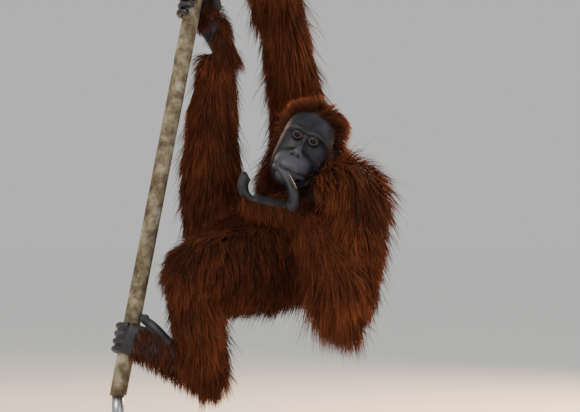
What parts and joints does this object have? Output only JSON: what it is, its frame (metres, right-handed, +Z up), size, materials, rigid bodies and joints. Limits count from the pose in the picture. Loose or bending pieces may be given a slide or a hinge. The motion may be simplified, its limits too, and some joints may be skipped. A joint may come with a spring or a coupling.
{
  "type": "orangutan model",
  "caption": "Life-size still model of an adult orangutan hanging from a leaning trunk with a raised arm and leg, one hand cupped at its mouth, on a flat display stand.",
  "frame": {"origin": "centre of the underside of the stand's base", "axes": "+Z up along the height, +X to the right and +Y away from the viewer as the model is seen from the front"},
  "size_m": [0.9, 0.8, 1.817],
  "materials": {
    "coat": "long shaggy rust-red hair in flat tapered locks over dark skin",
    "skin": "bare dark blue-grey skin with fine creases and a soft sheen",
    "eye": "wet glossy brown eye with a dark pupil",
    "bark": "mottled grey-brown bark with greenish patches and low ridges",
    "base_wood": "dark stained board with a satin varnish",
    "rod_steel": "turned round steel bar, brushed along its length"
  },
  "bodies": {
    "root": {"head": "coat", "neck": "coat", "torso": "coat", "upper_arm_left": "coat", "upper_arm_right": "coat", "forearm_left": "coat", "forearm_right": "coat", "thigh_left": "coat", "thigh_right": "coat", "shank_left": "coat", "shank_right": "coat", "ear_left": "skin", "ear_right": "skin", "hand_left": "skin", "hand_right": "skin", "foot_left": "skin", "foot_right": "skin", "eye_left": "eye", "eye_right": "eye", "perch_trunk": "bark", "stand_base": "base_wood", "stand_rod": "rod_steel"}
  },
  "joints": []
}
